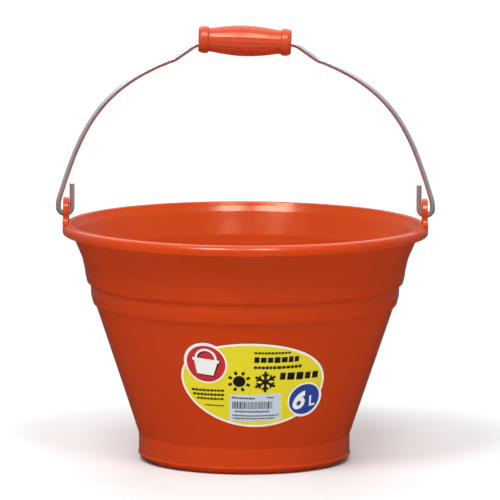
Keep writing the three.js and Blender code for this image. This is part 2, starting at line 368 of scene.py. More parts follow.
def turned_tree():
    """Turns an outline of (radius, 0, height) points round the Z axis, with flutes where it is weighted."""
    tree, given = new_geometry_tree("Turned body", [
        ("Sides", "Int"), ("Flutes", "Int"), ("Flute depth", "Float"), ("Material", "Material"),
    ])
    outline = given["Geometry"]
    outline_size = add(tree, "GeometryNodeAttributeDomainSize", {"Geometry": outline})
    columns = calc(tree, "ADD", given["Sides"], 1.0)
    grid = add(tree, "GeometryNodeMeshGrid", {
        "Vertices X": outline_size.outputs["Point Count"], "Vertices Y": columns,
    })
    # each row of the grid is one point of the outline, and each column one side
    index = add(tree, "GeometryNodeInputIndex").outputs[0]
    row = calc(tree, "FLOOR", calc(tree, "DIVIDE", index, columns))
    column = calc(tree, "MODULO", index, columns)
    angle = calc(tree, "DIVIDE", calc(tree, "MULTIPLY", column, 2 * math.pi), given["Sides"])
    place = add(tree, "GeometryNodeInputPosition").outputs[0]
    point = add(tree, "GeometryNodeSampleIndex", {
        "Geometry": outline, "Value": place, "Index": row,
    }, data_type="FLOAT_VECTOR").outputs[0]
    weight = add(tree, "GeometryNodeInputNamedAttribute", {"Name": "fluted"}, data_type="FLOAT").outputs[0]
    fluted = add(tree, "GeometryNodeSampleIndex", {
        "Geometry": outline, "Value": weight, "Index": row,
    }).outputs[0]
    # a flute is a shallow hollow between two soft ridges
    half_turn = calc(tree, "MULTIPLY", calc(tree, "MULTIPLY", angle, given["Flutes"]), 0.5)
    hollow = calc(tree, "ABSOLUTE", calc(tree, "SINE", half_turn))
    cut = calc(tree, "MULTIPLY", calc(tree, "MULTIPLY", hollow, given["Flute depth"]), fluted)
    parts = add(tree, "ShaderNodeSeparateXYZ", {0: point})
    radius = calc(tree, "SUBTRACT", parts.outputs["X"], cut)
    spoke = add(tree, "ShaderNodeCombineXYZ", {"X": radius, "Z": parts.outputs["Z"]})
    turned = add(tree, "ShaderNodeVectorRotate", {
        "Vector": spoke.outputs[0], "Angle": angle,
    }, rotation_type="Z_AXIS")
    shaped = add(tree, "GeometryNodeSetPosition", {
        "Geometry": grid.outputs["Mesh"], "Position": turned.outputs[0],
    })
    closed = add(tree, "GeometryNodeMergeByDistance", {
        "Geometry": shaped.outputs[0], "Distance": MERGE_DISTANCE,
    })
    return finish_tree(tree, closed.outputs[0], given["Material"])


def wire_tree():
    """Sweeps a round wire along a chain of edges, thinned by its girth, and stores each point's place."""
    tree, given = new_geometry_tree("Bent wire", [
        ("Radius", "Float"), ("Sides", "Int"), ("Material", "Material"),
    ])
    curve = add(tree, "GeometryNodeMeshToCurve", {"Mesh": given["Geometry"]})
    along = add(tree, "GeometryNodeSplineParameter")
    path = add(tree, "GeometryNodeStoreNamedAttribute", {
        "Geometry": curve.outputs[0], "Name": "along", "Value": along.outputs["Length"],
    }, data_type="FLOAT", domain="POINT")
    ring = add(tree, "GeometryNodeCurvePrimitiveCircle", {
        "Resolution": given["Sides"], "Radius": given["Radius"],
    })
    place = add(tree, "GeometryNodeInputPosition")
    section = add(tree, "GeometryNodeStoreNamedAttribute", {
        "Geometry": ring.outputs[0], "Name": "across", "Value": place.outputs[0],
    }, data_type="FLOAT_VECTOR", domain="POINT")
    girth = add(tree, "GeometryNodeInputNamedAttribute", {"Name": "girth"}, data_type="FLOAT")
    swept = add(tree, "GeometryNodeCurveToMesh", {
        "Curve": path.outputs[0], "Profile Curve": section.outputs[0],
        "Scale": girth.outputs[0], "Fill Caps": True,
    })
    return finish_tree(tree, swept.outputs[0], given["Material"])


# ---------------------------------------------------------------- materials

def new_material(name):
    """An empty node material: its tree and its Principled shader."""
    material = bpy.data.materials.new(name)
    material.use_nodes = True
    tree = material.node_tree
    return material, tree, tree.nodes["Principled BSDF"]


def darker(tint, share):
    """A colour with each channel at a share of what it was."""
    return [c * share for c in tint[:3]] + [1.0]


def noise(tree, place, cell, detail):
    """Soft noise, from 0 to 1, with cells of a size in metres."""
    texture = add(tree, "ShaderNodeTexNoise", {"Vector": place, "Scale": 1 / cell, "Detail": detail})
    return texture.outputs["Fac"]


def blend(tree, share, first, second):
    """A colour between two others."""
    return add(tree, "ShaderNodeMix", {0: share, 6: first, 7: second}, data_type="RGBA").outputs[2]


def rescaled(tree, value, low, high, start, end):
    """A value between low and high, carried over to between start and end."""
    return add(tree, "ShaderNodeMapRange", {
        "Value": value, "From Min": low, "From Max": high, "To Min": start, "To Max": end,
    }).outputs[0]


def set_relief(tree, shader, height, strength, depth):
    """Gives a shader a bump from a height. The depth is in metres."""
    bump = add(tree, "ShaderNodeBump", {"Strength": strength, "Distance": depth, "Height": height})
    tree.links.new(bump.outputs[0], shader.inputs["Normal"])


def inward_share(tree, place):
    """How far a face looks towards the Z axis: 0 on the outside and on flat tops, 1 on the inside."""
    away = add(tree, "ShaderNodeVectorMath", {0: place, 1: (1, 1, 0)}, operation="MULTIPLY")
    outward = add(tree, "ShaderNodeVectorMath", {0: away.outputs[0]}, operation="NORMALIZE")
    face = add(tree, "ShaderNodeTexCoord").outputs["Normal"]
    turned_out = add(tree, "ShaderNodeVectorMath", {
        0: outward.outputs[0], 1: face,
    }, operation="DOT_PRODUCT")
    return rescaled(tree, turned_out.outputs["Value"], -0.2, -0.6, 0.0, 1.0)


def moulded_polyethylene(name, plastic, mottle, glossiest, dullest, painted_through_light=None):
    """High-density polyethylene, injection moulded: a soft gloss over a faint orange peel, with slow
    flow mottling in the colour, and a little light let through the thin wall. The painted_through_light
    colour is painted light: faces that look at the axis get a more orange base colour, which stands in
    for the light that comes through the wall."""
    material, tree, shader = new_material(name)
    shader.inputs["IOR"].default_value = 1.54
    shader.inputs["Specular Tint"].default_value = linear("#FFE0C4")
    shader.inputs["Subsurface Weight"].default_value = 0.08
    shader.inputs["Subsurface Radius"].default_value = (1.0, 0.25, 0.06)
    shader.inputs["Subsurface Scale"].default_value = 2.5 * MM
    place = add(tree, "ShaderNodeTexCoord").outputs["Object"]
    # flow mottling, about 45 mm across
    tone = blend(tree, noise(tree, place, 45 * MM, 3.0), list(plastic), list(mottle))
    # painted light: faces that look at the axis are blended to a more orange colour, standing in for light
    # through the wall
    if painted_through_light:
        tone = blend(tree, inward_share(tree, place), tone, list(painted_through_light))
    tree.links.new(tone, shader.inputs["Base Color"])
    # handling haze, about 12 mm across, changes the gloss slightly
    haze = noise(tree, place, 12 * MM, 4.0)
    tree.links.new(rescaled(tree, haze, 0.3, 0.7, glossiest, dullest), shader.inputs["Roughness"])
    # orange peel: 2.4 mm cells, coarser than the real 1 mm so that it shows
    set_relief(tree, shader, noise(tree, place, 2.4 * MM, 1.0), 0.10, 0.12 * MM)
    return material


def drawn_aluminium(name, metal):
    """Aluminium wire, cold drawn: a satin metal with fine lengthwise die lines and a soft, dull sheen."""
    material, tree, shader = new_material(name)
    # the dull oxide film scatters part of the light
    shader.inputs["Metallic"].default_value = 0.9
    across = add(tree, "ShaderNodeAttribute", attribute_name="across").outputs["Vector"]
    along = add(tree, "ShaderNodeAttribute", attribute_name="along").outputs["Fac"]
    side = add(tree, "ShaderNodeSeparateXYZ", {0: across})
    # die lines are drawn 60 times longer than they are wide
    place = add(tree, "ShaderNodeCombineXYZ", {
        "X": side.outputs["X"], "Y": side.outputs["Y"], "Z": calc(tree, "MULTIPLY", along, 1 / 60),
    })
    lines = noise(tree, place.outputs[0], 0.5 * MM, 3.0)
    tree.links.new(blend(tree, lines, darker(metal, 0.9), list(metal)), shader.inputs["Base Color"])
    tree.links.new(rescaled(tree, lines, 0.3, 0.7, 0.26, 0.4), shader.inputs["Roughness"])
    set_relief(tree, shader, lines, 0.15, 0.05 * MM)
    return material


def printed_film(name, ink):
    """White polypropylene film, printed and laminated: an even ink under a clear glossy layer, with
    a faint grain from the press."""
    material, tree, shader = new_material(name)
    shader.inputs["IOR"].default_value = 1.49
    shader.inputs["Coat Weight"].default_value = 0.25
    shader.inputs["Coat Roughness"].default_value = 0.08
    place = add(tree, "ShaderNodeTexCoord").outputs["Object"]
    # press grain, 0.7 mm, coarser than the real 0.2 mm so that it shows
    grain = noise(tree, place, 0.7 * MM, 2.0)
    tree.links.new(blend(tree, grain, darker(ink, 0.93), list(ink)), shader.inputs["Base Color"])
    tree.links.new(rescaled(tree, grain, 0.0, 1.0, 0.3, 0.42), shader.inputs["Roughness"])
    # the film is never quite flat on the wall: slow waves, 14 mm across
    set_relief(tree, shader, noise(tree, place, 14 * MM, 0.0), 0.12, 0.3 * MM)
    return material


def floor_paper(name, tint):
    """Background paper, uncoated: pale and matt, with a very faint cloudiness."""
    material, tree, shader = new_material(name)
    shader.inputs["Roughness"].default_value = 0.9
    shader.inputs["Specular IOR Level"].default_value = 0.1
    place = add(tree, "ShaderNodeTexCoord").outputs["Object"]
    # clouds half a metre across
    cloud = noise(tree, place, 0.5, 2.0)
    tree.links.new(blend(tree, cloud, darker(tint, 0.99), list(tint)), shader.inputs["Base Color"])
    return material


# ---------------------------------------------------------------- the bucket

class WallLine:
    """The straight cone that the plain wall follows, in millimetres, up to a neck below the rim."""

    NECK_INSET = 9.5
    NECK_DROP = 17

    def __init__(self, sizes):
        self.foot_radius = sizes.foot_radius / MM
        self.foot_band = sizes.foot_band / MM
        self.neck_radius = sizes.rim_radius / MM - self.NECK_INSET
        self.neck_height = sizes.height / MM - self.NECK_DROP
        rise = self.neck_height - self.foot_band
        self.slope = (self.neck_radius - self.foot_radius) / rise
        self.taper = math.atan(self.slope)

    def radius(self, height):
        return self.foot_radius + self.slope * (height - self.foot_band)


def shell_outline(sizes):
    """The bucket's closed outline, from the middle of the floor's underside out and back to its top."""
    wall = WallLine(sizes)
    foot = wall.foot_radius
    band = wall.foot_band
    rim = sizes.rim_radius / MM
    top = sizes.height / MM
    thick = sizes.wall / MM
    across = thick / math.cos(wall.taper)
    under = sizes.floor_underside / MM
    low = sizes.lower_belt / MM
    high = sizes.upper_belt / MM
    floor = 2.5
    tuck = 4.7
    lip_width = 6.2
    lip_thickness = 2.0
    lip_drop = 8.0
    # each belt's crease, lip and swell, from the lower belt up
    belts = [
        (wall.radius(low) - 0.5, low, 0.6),
        (wall.radius(low) + 1.9, low + 2.3, 1.4),
        (wall.radius(low) + 3.7, low + 9.5, 14),
        (wall.radius(low) + 3.8, high - 0.4, 0.6),
        (wall.radius(high) + 0.9, high + 2.0, 1.4),
        (wall.radius(high) + 2.4, high + 8.5, 12),
    ]
    # the recess under the floor, the tucked standing ring, the bead above it, and the foot band
    foot_ring = [
        (foot - thick, under, 1.2),
        (foot - thick, 5.0, 1.5),
        (foot - thick - tuck, 0.0, 0.4),
        (foot - tuck, 0.0, 1.2),
        (foot + 0.7, 4.9, 1.0),
        (foot, 6.4, 0.6),
        (foot, band, 1.6),
    ]
    # the flare below the rim, and the underside, edge and crest of the turned-down lip
    rolled_rim = [
        (rim - 17.2, top - 35.5, 20),
        (rim - 14.9, top - 25.8, 12),
        (rim - 7.4, top - 8.4, 2),
        (rim - lip_width, top - 3.8, 1.0),
        (rim - lip_thickness, top - 3.8, 0.8),
        (rim - lip_thickness, top - lip_drop, 0.4),
        (rim, top - lip_drop, 0.6),
        (rim, top, 4.9),
        (rim - lip_width, top, 1.6),
    ]
    # the bevel inside the mouth, and the throat below it
    throat = [
        (rim - 7.8, top - 3.2, 1.0),
        (rim - 10.2, top - 7.2, 1.0),
        (rim - 17.5, top - 25.4, 5),
        (rim - 19.4, top - 36.0, 10),
    ]
    belts_inside = [(r - across, z, max(rounding, 1.5)) for r, z, rounding in reversed(belts)]
    outline = rounded([
        (0, under, 0),
        *foot_ring,
        *belts,
        *rolled_rim,
        *throat,
        *belts_inside,
        (wall.radius(under) - across + 1.2, under + floor, 5),
        (0, under + floor, 0),
    ])
    return divided(outline, 7)


def shell(sizes, material):
    """The bucket without its lugs."""
    points = [(r * MM, 0, z * MM) for r, z in shell_outline(sizes)]
    starter = line_object("shell_outline", points, [0.0] * len(points), "fluted")
    return run_tree("bucket_body", starter, turned_tree(), {
        "Sides": sizes.sides, "Flutes": 1, "Flute depth": 0.0, "Material": material,
    })


def lug_reach(lug, angle):
    """How far a lug's edge is from the middle of its eye, in a direction measured up from +Y."""
    head = lug.head_radius
    # the round head holds down to just below the middle of the eye
    if math.sin(angle) > -0.05:
        return head
    # below it the web narrows slightly to a waist, and then spreads to its root in nearly a quarter of
    # an ellipse, which runs on into the rim
    waist = head - 0.0007
    spread_height = lug.eye_height - 0.0008
    sunk = 0.006
    bulge = 2.2
    half_root = lug.root_width / 2
    low = 0.0
    high = (lug.eye_height + sunk) / -math.sin(angle)
    for _ in range(30):
        reach = (low + high) / 2
        down = -reach * math.sin(angle)
        spread = max(0.0, 1 - max(0.0, spread_height - down) / spread_height)
        edge = waist + (half_root - waist) * (1 - math.sqrt(max(0.0, 1 - spread ** bulge)))
        if abs(reach * math.cos(angle)) < max(edge, math.sqrt(max(0.0, head ** 2 - down ** 2))):
            low = reach
        else:
            high = reach
    return low


def lug_section(lug, reach):
    """Half of a cut through a lug, from its eye out to its edge, as (distance, half thickness)."""
    half_head = lug.head_thickness / 2
    half_web = lug.web_thickness / 2
    # the round head stands a little proud of the web, with a soft step at its edge
    hair = 0.0004
    soft = 0.0006
    head_edge = min(lug.head_radius - soft, reach - hair)
    edge_half = half_web if reach > lug.head_radius + hair else half_head - 0.0003
    section = rounded([
        (lug.eye_radius, 0, 0),
        (lug.eye_radius, half_head, 0.0007),
        (head_edge - soft, half_head, 0.0),
        (head_edge + hair / 2, edge_half, 0.0),
        (reach, edge_half, soft if reach > head_edge + 4 * hair else 0.0),
        (reach, 0, 0),
    ], math.radians(22))
    return [section[0]] + [p for a, p in zip(section, section[1:]) if math.dist(a, p) > 1e-6]


def lug_object(sizes, lug, side):
    """One lug as a closed solid: rings of points round the eye, on a rounded plate with a thicker head."""
    rings = 144
    section_points = 28
    fillet_depth = 0.0006
    fillet_height = 0.0035
    shape = bmesh.new()
    verts = []
    for i in range(rings):
        angle = 2 * math.pi * i / rings
        section = resampled(lug_section(lug, lug_reach(lug, angle)), section_points)
        ring = []
        for sign in (1, -1):
            for distance, half in (section if sign > 0 else section[-2:0:-1]):
                y = distance * math.cos(angle)
                z = lug.eye_height + distance * math.sin(angle)
                # the web thickens into the rim with a small fillet
                fillet = fillet_depth * min(1.0, max(0.0, 1 - z / fillet_height)) ** 2
                half_here = half + (fillet if half > 1e-5 else 0.0)
                ring.append(shape.verts.new((sign * half_here, y, z)))
        verts.append(ring)
    for i in range(rings):
        here = verts[i]
        after = verts[(i + 1) % rings]
        for j in range(len(here)):
            k = (j + 1) % len(here)
            shape.faces.new((here[j], here[k], after[k], after[j]))
    bmesh.ops.remove_doubles(shape, verts=shape.verts, dist=1e-6)
    bmesh.ops.recalc_face_normals(shape, faces=shape.faces)
    mesh = bpy.data.meshes.new("lug")
    shape.to_mesh(mesh)
    shape.free()
    middle = side * (sizes.rim_radius - lug.inset)
    mesh.transform(Matrix.Translation((middle, 0, sizes.height)))
    return new_object("lug", mesh)


def resampled(points, count):
    """A line with a set number of points, spread evenly by length, that keeps both of its ends."""
    spans = [math.dist(a, b) for a, b in zip(points, points[1:])]
    whole = sum(spans)
    result = [points[0]]
    for i in range(1, count - 1):
        target = whole * i / (count - 1)
        for (a, b), span in zip(zip(points, points[1:]), spans):
            if target <= span:
                share = target / span
                result.append((a[0] + (b[0] - a[0]) * share, a[1] + (b[1] - a[1]) * share))
                break
            target -= span
    return result + [points[-1]]


class BUCKET_OT_make_body(Operator):
    """Make the moulded bucket with its two lugs"""

    bl_idname = "bucket.make_body"
    bl_label = "Make Bucket Body"

    def execute(self, context):
        sizes = context.scene.bucket_sizes
        material = moulded_polyethylene("bucket_hdpe_moulded", sizes.plastic, sizes.mottle, 0.15, 0.22,
                                        sizes.painted_through_light)
        body = shell(sizes, material)
        for side in (1, -1):
            join_solid(body, lug_object(sizes, context.scene.lug_sizes, side))
        body.data.materials.clear()
        body.data.materials.append(material)
        for face in body.data.polygons:
            face.use_smooth = True
            face.material_index = 0
        keep_edges_crisp(body)
        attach(body, "bucket")
        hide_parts("bucket_shell")
        return {"FINISHED"}


# ---------------------------------------------------------------- the bail

def bail_line(bail, grip_half):
    """The wire's centre line in the XZ plane, in metres, from one tail to the other."""
    hook = bail.hook_radius
    wire = bail.wire_radius
    hook_x = WIRE_BOX[1].x - wire - hook
    hook_z = PIVOT_HEIGHT + hook
    leg_x = hook_x + hook
    bar_z = WIRE_BOX[1].z - wire
    step = math.radians(6)
    # the arch runs from a shoulder above the lug to a crown beside the grip
    lean_at_shoulder = math.radians(17.7)
    lean_at_crown = math.radians(21.5)
    shoulder = Vector((leg_x - 0.0027, PIVOT_HEIGHT + 0.0185))
    crown = Vector((grip_half + 0.024, bar_z - 0.0138))
    from_shoulder = shoulder + 0.0454 * Vector((-math.sin(lean_at_shoulder), math.cos(lean_at_shoulder)))
    from_crown = crown + 0.060 * Vector((math.cos(lean_at_crown), -math.sin(lean_at_crown)))
    tail = [(hook_x - hook, hook_z + bail.tail_length), (hook_x - hook, hook_z + 0.001)]
    turn = arc((hook_x, hook_z), hook, math.pi, 2 * math.pi, step)
    leg = rounded([
        (leg_x, hook_z, 0),
        (leg_x, hook_z + 0.0047, 0.020),
        (shoulder.x, shoulder.y, 0),
    ], step)
    arch = interpolate_bezier(*[p.to_3d() for p in (shoulder, from_shoulder, from_crown, crown)], 48)
    # the bend that keeps the grip in the middle
    joggle = rounded([
        (crown.x, crown.y, 0),
        (grip_half + 0.0195, bar_z - 0.0123, 0.013),
        (grip_half + 0.002, bar_z, 0.013),
        (0.0, bar_z, 0),
    ], step)
    line = tail + turn + leg + [(p.x, p.y) for p in arch] + joggle
    half = [line[0]]
    for point in line[1:]:
        if math.dist(point, half[-1]) > 2e-4:
            half.append(point)
    return half + [(-x, z) for x, z in reversed(half[:-1])]


class BUCKET_OT_make_bail(Operator):
    """Make the bent wire bail"""

    bl_idname = "bucket.make_bail"
    bl_label = "Make Bail"

    def execute(self, context):
        bail = context.scene.bail_sizes
        line = divided(bail_line(bail, GRIP_BOX[1].x), 0.004, 0.0004)
        material = drawn_aluminium("bail_aluminium_drawn", bail.metal)
        # the cut ends are slightly thinned
        girth = [1.0] * len(line)
        girth[0] = 0.82
        girth[-1] = 0.82
        points = [(x, 0, z) for x, z in line]
        starter = line_object("bail_line", points, girth, "girth")
        wire = run_tree("bail", starter, wire_tree(), {
            "Radius": bail.wire_radius, "Sides": bail.sides, "Material": material,
        })
        keep_edges_crisp(wire, 30)
        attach(wire, "bail")
        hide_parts("bail_wire")
        return {"FINISHED"}


# ---------------------------------------------------------------- the grip

def grip_outline(grip, half_length):
    """The sleeve's closed outline as (radius, place along it, flute weight), in metres."""
    groove = 0.0012
    bead_start = half_length - grip.bead_width
    barrel_half = bead_start - groove
    bead = grip.bead_radius
    neck = grip.neck_radius
    right = rounded([
        (neck, barrel_half, 0),
        (neck - 0.0001, bead_start + 0.0001, 0.0005),
        (bead - 0.0004, bead_start + 0.0006, 0.0012),
        (bead, half_length - 0.0040, 0.006),
        (bead - 0.0012, half_length, 0.0024),
        (grip.bore_radius, half_length, 0.0006),
        (grip.bore_radius, half_length - 0.004, 0),
    ], math.radians(12))
    left = [(r, -z) for r, z in reversed(right)]
    steps = 40
    flute_run_out = 0.006
    barrel = []
    for i in range(1, steps):
        z = barrel_half * (2 * i / steps - 1)
        swell = math.cos(math.pi / 2 * z / barrel_half)
        weight = min(1.0, (barrel_half - abs(z)) / flute_run_out)
        barrel.append((neck + (grip.belly_radius - neck) * swell, z, weight))
    ends = [(r, z, 0.0) for r, z in left]
    return ends + barrel + [(r, z, 0.0) for r, z in right] + [ends[0]]


class BUCKET_OT_make_grip(Operator):
    """Make the moulded grip"""

    bl_idname = "bucket.make_grip"
    bl_label = "Make Grip"

    def execute(self, context):
        grip = context.scene.grip_sizes
        material = moulded_polyethylene("grip_hdpe_moulded", grip.plastic, grip.mottle, 0.24, 0.34)
        outline = grip_outline(grip, GRIP_BOX[1].x)
        points = [(r, 0, z) for r, z, _ in outline]
        starter = line_object("grip_outline", points, [w for _, _, w in outline], "fluted")
        sleeve = run_tree("grip_sleeve", starter, turned_tree(), {
            "Sides": grip.sides, "Flutes": grip.flutes, "Flute depth": grip.flute_depth,
            "Material": material,
        })
        lay_along_x = Matrix.Rotation(math.pi / 2 + grip.droop, 4, "Y")
        sleeve.data.transform(Matrix.Translation((grip.slide, 0, GRIP_HEIGHT)) @ lay_along_x)
        keep_edges_crisp(sleeve, 50)
        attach(sleeve, "grip")
        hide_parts("grip")
        return {"FINISHED"}


# ---------------------------------------------------------------- the label

# The label's artwork is laid out flat, in millimetres from the middle of the oval.
BADGE = (-37.6, 15.7)
CAPACITY = (40.9, -16.2)
LABEL_TURN = math.radians(-3.4)
BLOCK_GAP = 0.18
INKS = ("white", "yellow", "red", "blue", "black", "panel")


def oval(centre, half_width, half_height, turn=0.0, count=64):
    """An ellipse as a closed list of points."""
    points = []
    for i in range(count):
        angle = 2 * math.pi * i / count
        across = half_width * math.cos(angle)
        up = half_height * math.sin(angle)
        points.append((
            centre[0] + across * math.cos(turn) - up * math.sin(turn),
            centre[1] + across * math.sin(turn) + up * math.cos(turn),
        ))
    return points


def slanted_box(left, right, height):
    """A bar whose middle line runs from left to right, with a height across it."""
    a = Vector(left)
    b = Vector(right)
    along = (b - a).normalized()
    up = Vector((-along.y, along.x)) * height / 2
    return [tuple(corner) for corner in (a - up, b - up, b + up, a + up)]


def block_row(left, right, height, count, seed, gap):
    """A row of blocks of slightly uneven width that stands for a line of small print. The gap is a share
    of a block's width."""
    chance = random.Random(seed)
    widths = [chance.uniform(0.8, 1.2) for _ in range(count)]
    whole = sum(widths) + gap * (count - 1)
    a = Vector(left)
    b = Vector(right)
    rows = []
    start = 0.0
    for width in widths:
        from_point = a.lerp(b, start / whole)
        to_point = a.lerp(b, (start + width) / whole)
        rows.append(slanted_box(from_point, to_point, height * chance.uniform(0.85, 1.0)))
        start += width + gap
    return rows


def spoked(centre, inner, outer, count, width, start=0.0):
    """Straight bars that point away from a centre."""
    bars = []
    for i in range(count):
        angle = start + 2 * math.pi * i / count
        ray = Vector((math.cos(angle), math.sin(angle)))
        middle = Vector(centre)
        bars.append(slanted_box(middle + ray * inner, middle + ray * outer, width))
    return bars


def snow_mark(centre, size):
    """Six arms with two short branches each."""
    marks = spoked(centre, 0, size, 6, size * 0.24, math.pi / 6)
    for i in range(6):
        angle = math.pi / 6 + 2 * math.pi * i / 6
        ray = Vector((math.cos(angle), math.sin(angle)))
        for turn in (-1, 1):
            twig = Vector((math.cos(angle + turn * 0.9), math.sin(angle + turn * 0.9)))
            root = Vector(centre) + ray * size * 0.5
            marks.append(slanted_box(root, root + twig * size * 0.38, size * 0.18))
    return marks


def sun_mark(centre, size):
    """A disc with eight rays."""
    return [oval(centre, size * 0.55, size * 0.55, count=36)] + spoked(
        centre, size * 0.68, size * 1.02, 8, size * 0.27, math.pi / 8
    )


def pail_mark(centre, width, height):
    """A small bucket: a tapered body, a rim bar and an arched handle."""
    cx, cy = centre
    half = width / 2
    body = [
        (cx - half * 0.62, cy - height * 0.5), (cx + half * 0.62, cy - height * 0.5),
        (cx + half * 0.88, cy + height * 0.08), (cx - half * 0.88, cy + height * 0.08),
    ]
    rim = slanted_box((cx - half, cy + height * 0.14), (cx + half, cy + height * 0.14), height * 0.13)
    outside = arc((cx, cy + height * 0.2), half * 0.84, 0, math.pi)
    inside = arc((cx, cy + height * 0.2), half * 0.66, math.pi, 0)
    return [body, rim, outside + inside]


def numeral_six(centre, height):
    """A slanted figure 6 as white strokes, and the hole in its bowl."""
    cx, cy = centre
    bowl = height * 0.33
    low = cy - height / 2 + bowl
    ring = oval((cx, low), bowl, bowl, count=36)
    hole = oval((cx, low), bowl * 0.36, bowl * 0.40, count=24)
    outside = arc((cx + bowl, low), bowl * 2.0, math.pi, math.pi * 0.55)
    inside = arc((cx + bowl, low), bowl * 1.12, math.pi * 0.55, math.pi)
    stroke = outside + inside
    slant = 0.16
    lean = [[(x + (y - cy) * slant, y) for x, y in shape] for shape in (stroke, ring, hole)]
    return lean[:2], lean[2]


def inked(ink, shapes):
    """Shapes that are all printed in one ink."""
    return [(ink, shape) for shape in shapes]


def black_rows(rows, seed):
    """Rows of small print, each given as its two ends, its height, its number of blocks and their gaps.
    The rows have seeds of their own, counted up from the first."""
    art = []
    for i, (left, right, height, count, gap) in enumerate(rows):
        art += inked("black", block_row(left, right, height, count, seed + i, gap))
    return art


def bar_run(left, right, bottom, top, chance):
    """Upright bars of uneven width that stand for a code."""
    bars = []
    place = left
    while place < right:
        width = chance.choice((0.35, 0.35, 0.6, 0.9))
        bars.append([(place, bottom), (place + width, bottom), (place + width, top), (place, top)])
        place += width + chance.choice((0.35, 0.35, 0.6))
    return bars


def label_art(label):
    """Every printed shape as (ink, outline), from the bottom of the print to the top."""
    half_width = label.half_width / MM
    half_height = label.half_height / MM
    art = [
        ("white", oval((0, 0), half_width, half_height, LABEL_TURN, 96)),
        ("white", oval(BADGE, 17.8, 17.8)),
        ("white", oval(CAPACITY, 15, 15, count=56)),
        ("yellow", oval((0, 0), half_width - 1.7, half_height - 1.7, LABEL_TURN, 96)),
        ("white", oval(BADGE, 16.6, 16.6)),
        ("white", oval(CAPACITY, 14.2, 14.2, count=56)),
        ("red", oval(BADGE, 15.4, 15.4)),
        ("blue", oval(CAPACITY, 12.9, 12.9, count=56)),
    ]
    # badge: a white pail with a dark shadow
    badge = (BADGE[0] - 0.2, BADGE[1] + 0.2)
    art += inked("black", pail_mark((badge[0] + 1.0, badge[1] - 1.0), 21, 19))
    art += inked("white", pail_mark(badge, 21, 19))
    # capacity: a figure 6 and the letter for litres
    strokes, hole = numeral_six((CAPACITY[0] - 4.4, CAPACITY[1]), 15.5)
    litre_x = CAPACITY[0] + 5.0
    litre_y = CAPACITY[1] - 6.2
    art += inked("white", strokes) + inked("blue", [hole])
    art += inked("white", [
        slanted_box((litre_x, litre_y + 8.4), (litre_x, litre_y), 1.6),
        slanted_box((litre_x - 0.8, litre_y), (litre_x + 4.2, litre_y), 1.6),
    ])
    # two large marks that say the bucket stands heat and frost
    art += inked("black", sun_mark((-11.4, 3.2), 8.7) + snow_mark((8.7, 2.8), 8.9))
    # print on the yellow
    art += black_rows([
        ((20.0, 7.0), (51.7, 3.4), 6.6, 5, 0.3),
        ((-0.5, 27.8), (28.0, 26.4), 1.9, 11, BLOCK_GAP),
        ((-0.3, 21.9), (34.8, 20.3), 5.0, 7, 0.22),
        ((-0.4, 15.4), (37.2, 13.6), 2.6, 12, BLOCK_GAP),
        ((-48.4, -8.4), (-22.7, -5.6), 2.1, 9, BLOCK_GAP),
        ((-47.2, -11.9), (-22.7, -9.2), 2.1, 9, BLOCK_GAP),
        ((-44.0, -15.0), (-22.9, -12.9), 2.0, 8, BLOCK_GAP),
        ((-37.3, -19.8), (-22.6, -18.6), 1.3, 9, BLOCK_GAP),
    ], seed=1)
    # the pale panel, with print above its bars and below them
    art += inked("panel", [[(-18.3, -31.0), (21.5, -30.6), (20.8, -7.6), (-18.2, -8.4)]])
    art += black_rows([
        ((-16.8, -10.9), (0.9, -11.4), 1.4, 8, BLOCK_GAP),
        ((10.3, -10.8), (15.4, -11.2), 1.2, 3, BLOCK_GAP),
    ], seed=9)
    art += inked("black", bar_run(-16.0, 14.6, -20.4, -14.2, random.Random(11)))
    art += black_rows([
        ((-14.0, -22.6), (12.3, -22.8), 1.5, 13, 0.35),
        ((-15.8, -26.2), (19.7, -26.4), 1.2, 18, 0.3),
        ((-15.3, -28.6), (16.7, -28.7), 1.2, 16, 0.3),
    ], seed=12)
    return art


def is_inside(point, outline):
    """Whether a flat point lies inside a closed outline."""
    x, y = point
    hit = False
    for (x1, y1), (x2, y2) in zip(outline, outline[1:] + outline[:1]):
        if (y1 > y) != (y2 > y) and x < x1 + (y - y1) * (x2 - x1) / (y2 - y1):
            hit = not hit
    return hit


def stepped(outline, longest):
    """A closed outline with its long sides divided."""
    ring = []
    for a, b in zip(outline, outline[1:] + outline[:1]):
        count = max(1, math.ceil(math.dist(a, b) / longest))
        ring += [(a[0] + (b[0] - a[0]) * i / count, a[1] + (b[1] - a[1]) * i / count) for i in range(count)]
    return ring


def flat_label(art, spacing=2.6):
    """The artwork as flat triangles, each with the ink of the uppermost shape that covers it."""
    points = []
    edges = []
    for _, outline in art:
        first = len(points)
        ring = stepped(outline, spacing)
        count = len(ring)
        points += [Vector(p) for p in ring]
        edges += [(first + i, first + (i + 1) % count) for i in range(count)]
    # a grid of points under the print, set off its lines, keeps the triangles even on the curved wall
    steps = int(64 / spacing)
    points += [
        Vector((i * spacing + 0.37, j * spacing + 0.41))
        for i in range(-steps, steps + 1) for j in range(-steps, steps + 1)
    ]
    verts, _, faces, _, _, _ = delaunay_2d_cdt(points, edges, [], 0, 1e-4)
    boxes = []
    for ink, outline in art:
        xs = [p[0] for p in outline]
        ys = [p[1] for p in outline]
        boxes.append((ink, outline, min(xs), max(xs), min(ys), max(ys)))
    painted = []
    for face in faces:
        middle = sum((verts[i] for i in face), Vector((0, 0))) / len(face)
        for ink, outline, x0, x1, y0, y1 in reversed(boxes):
            if x0 <= middle.x <= x1 and y0 <= middle.y <= y1 and is_inside(middle, outline):
                painted.append((ink, list(face)))
                break
    return verts, painted


